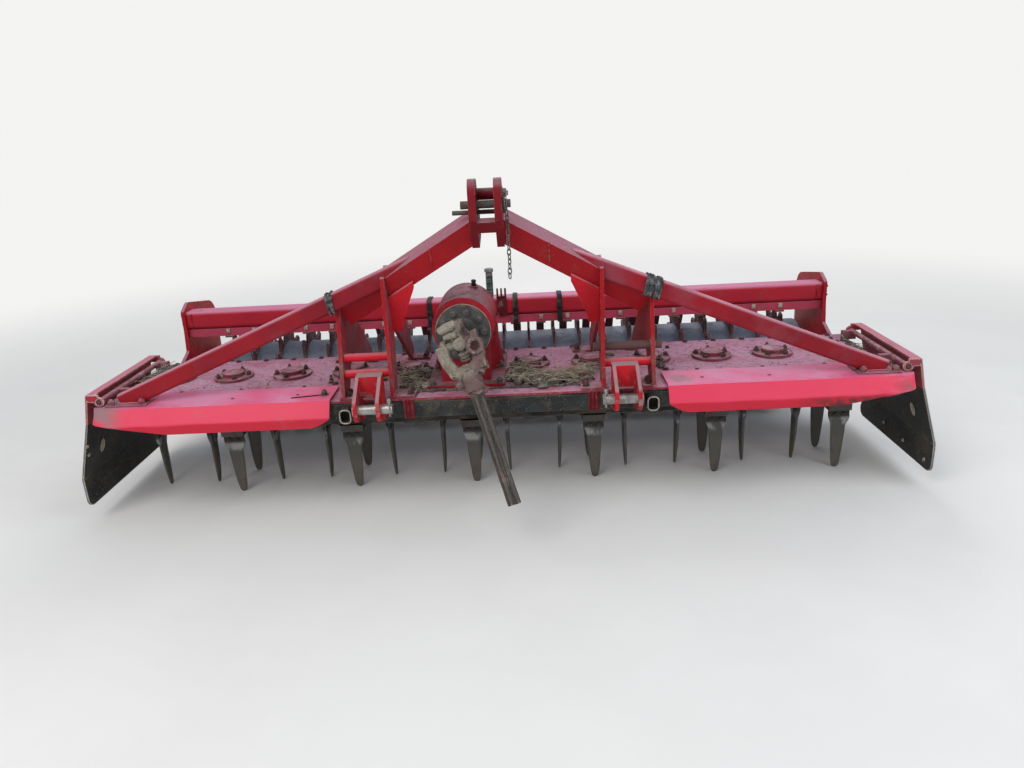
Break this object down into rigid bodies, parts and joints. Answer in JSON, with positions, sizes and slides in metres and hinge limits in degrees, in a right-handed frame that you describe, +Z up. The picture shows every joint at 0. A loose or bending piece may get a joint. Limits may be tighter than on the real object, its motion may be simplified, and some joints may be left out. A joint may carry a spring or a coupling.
{
  "type": "power harrow",
  "caption": "Tractor-mounted power harrow: a row of geared upright rotors with tines under a steel trough, A-frame headstock, hinged side plates, hanging driveline and toothed packer roller.",
  "frame": {"origin": "centre of the outline on the ground, where the tines and the roller stand", "axes": "+X to the machine's right seen from the tractor looking back, -Y towards the tractor, +Z up"},
  "size_m": [3.32, 1.6301, 1.263],
  "materials": {
    "red_paint": "glossy, chalked and dusty",
    "deck_paint": "faded, with dust and straw",
    "black_paint": "dull, soiled",
    "gearbox_paint": "cast, painted",
    "grey_cast": "cast, soiled",
    "joint_steel": "caked with dry earth",
    "zinc": "zinc plated, worn",
    "roller_steel": "worn, dull blue grey",
    "tine_steel": "polished by soil",
    "dark_steel": "bare, rusty"
  },
  "bodies": {
    "frame": {"bar_sockets": "red_paint", "bearing_housings": "grey_cast", "brace_feet": "red_paint", "clevis_pins": "zinc", "corner_braces": "red_paint", "filler_tube": "grey_cast", "front_bar": "black_paint", "front_hoods": "red_paint", "gear_trough": "black_paint", "gearbox_housing": "gearbox_paint", "headstock_feet": "red_paint", "headstock_gussets": "red_paint", "headstock_plates": "red_paint", "headstock_tubes": "red_paint", "input_flange": "grey_cast", "input_yoke": "joint_steel", "link_brackets": "red_paint", "link_pins": "zinc", "main_beams": "red_paint", "pivot_pins": "zinc", "rotor_covers": "deck_paint", "safety_chain": "zinc", "side_hinges": "red_paint", "top_clevis": "red_paint", "trough_lid": "deck_paint"},
    "roller_frame": {"roller_arm_left": "red_paint", "roller_arm_right": "red_paint", "rear_beam": "red_paint", "scraper_bar": "red_paint", "scrapers": "dark_steel"},
    "roller": {"packer_roller": "roller_steel"},
    "side_left": {"side_plate_left": "black_paint"},
    "side_right": {"side_plate_right": "black_paint"},
    "driveline_cross": {"joint_cross": "joint_steel"},
    "driveline": {"driveline_tube": "joint_steel"},
    "rotor_01": {"rotor_hub_01": "dark_steel", "tine_pair_01": "tine_steel"},
    "rotor_02": {"rotor_hub_02": "dark_steel", "tine_pair_02": "tine_steel"},
    "rotor_03": {"rotor_hub_03": "dark_steel", "tine_pair_03": "tine_steel"},
    "rotor_04": {"rotor_hub_04": "dark_steel", "tine_pair_04": "tine_steel"},
    "rotor_05": {"rotor_hub_05": "dark_steel", "tine_pair_05": "tine_steel"},
    "rotor_06": {"rotor_hub_06": "dark_steel", "tine_pair_06": "tine_steel"},
    "rotor_07": {"rotor_hub_07": "dark_steel", "tine_pair_07": "tine_steel"},
    "rotor_08": {"rotor_hub_08": "dark_steel", "tine_pair_08": "tine_steel"},
    "rotor_09": {"rotor_hub_09": "dark_steel", "tine_pair_09": "tine_steel"},
    "rotor_10": {"rotor_hub_10": "dark_steel", "tine_pair_10": "tine_steel"},
    "rotor_11": {"rotor_hub_11": "dark_steel", "tine_pair_11": "tine_steel"},
    "rotor_12": {"rotor_hub_12": "dark_steel", "tine_pair_12": "tine_steel"}
  },
  "joints": [
    {"name": "rotor_spin_01", "type": "hinge", "parent": "frame", "child": "rotor_01", "pos_m": [-1.375, -0.1236, 0.3], "axis": [0, 0, 1], "continuous": true},
    {"name": "rotor_spin_02", "type": "hinge", "parent": "frame", "child": "rotor_02", "pos_m": [-1.125, -0.1236, 0.3], "axis": [0, 0, 1], "continuous": true},
    {"name": "rotor_spin_03", "type": "hinge", "parent": "frame", "child": "rotor_03", "pos_m": [-0.875, -0.1236, 0.3], "axis": [0, 0, 1], "continuous": true},
    {"name": "rotor_spin_04", "type": "hinge", "parent": "frame", "child": "rotor_04", "pos_m": [-0.625, -0.1236, 0.3], "axis": [0, 0, 1], "continuous": true},
    {"name": "rotor_spin_05", "type": "hinge", "parent": "frame", "child": "rotor_05", "pos_m": [-0.375, -0.1236, 0.3], "axis": [0, 0, 1], "continuous": true},
    {"name": "rotor_spin_06", "type": "hinge", "parent": "frame", "child": "rotor_06", "pos_m": [-0.125, -0.1236, 0.3], "axis": [0, 0, 1], "continuous": true},
    {"name": "rotor_spin_07", "type": "hinge", "parent": "frame", "child": "rotor_07", "pos_m": [0.125, -0.1236, 0.3], "axis": [0, 0, 1], "continuous": true},
    {"name": "rotor_spin_08", "type": "hinge", "parent": "frame", "child": "rotor_08", "pos_m": [0.375, -0.1236, 0.3], "axis": [0, 0, 1], "continuous": true},
    {"name": "rotor_spin_09", "type": "hinge", "parent": "frame", "child": "rotor_09", "pos_m": [0.625, -0.1236, 0.3], "axis": [0, 0, 1], "continuous": true},
    {"name": "rotor_spin_10", "type": "hinge", "parent": "frame", "child": "rotor_10", "pos_m": [0.875, -0.1236, 0.3], "axis": [0, 0, 1], "continuous": true},
    {"name": "rotor_spin_11", "type": "hinge", "parent": "frame", "child": "rotor_11", "pos_m": [1.125, -0.1236, 0.3], "axis": [0, 0, 1], "continuous": true},
    {"name": "rotor_spin_12", "type": "hinge", "parent": "frame", "child": "rotor_12", "pos_m": [1.375, -0.1236, 0.3], "axis": [0, 0, 1], "continuous": true},
    {"name": "roller_depth", "type": "hinge", "parent": "frame", "child": "roller_frame", "pos_m": [0, 0.1764, 0.417], "axis": [-1, 0, 0], "range_deg": [0, 12]},
    {"name": "roller_spin", "type": "hinge", "parent": "roller_frame", "child": "roller", "pos_m": [0, 0.5364, 0.255], "axis": [1, 0, 0], "continuous": true},
    {"name": "side_swing_left", "type": "hinge", "parent": "frame", "child": "side_left", "pos_m": [-1.52, -0.1236, 0.506], "axis": [0, 1, 0], "range_deg": [0, 30]},
    {"name": "side_swing_right", "type": "hinge", "parent": "frame", "child": "side_right", "pos_m": [1.52, -0.1236, 0.506], "axis": [0, -1, 0], "range_deg": [0, 30]},
    {"name": "driveline_swing", "type": "hinge", "parent": "frame", "child": "driveline_cross", "pos_m": [-0.125, -0.5186, 0.69], "axis": [0.3223, 0, -0.9466], "range_deg": [-25, 25]},
    {"name": "driveline_lift", "type": "hinge", "parent": "driveline_cross", "child": "driveline", "pos_m": [-0.125, -0.5186, 0.69], "axis": [-0.9466, 0, -0.3223], "range_deg": [0, 63.3]}
  ],
  "couplings": [
    {"joint": "rotor_spin_02", "follows": "rotor_spin_01", "ratio": -1},
    {"joint": "rotor_spin_03", "follows": "rotor_spin_01", "ratio": 1},
    {"joint": "rotor_spin_04", "follows": "rotor_spin_01", "ratio": -1},
    {"joint": "rotor_spin_05", "follows": "rotor_spin_01", "ratio": 1},
    {"joint": "rotor_spin_06", "follows": "rotor_spin_01", "ratio": -1},
    {"joint": "rotor_spin_07", "follows": "rotor_spin_01", "ratio": 1},
    {"joint": "rotor_spin_08", "follows": "rotor_spin_01", "ratio": -1},
    {"joint": "rotor_spin_09", "follows": "rotor_spin_01", "ratio": 1},
    {"joint": "rotor_spin_10", "follows": "rotor_spin_01", "ratio": -1},
    {"joint": "rotor_spin_11", "follows": "rotor_spin_01", "ratio": 1},
    {"joint": "rotor_spin_12", "follows": "rotor_spin_01", "ratio": -1}
  ]
}
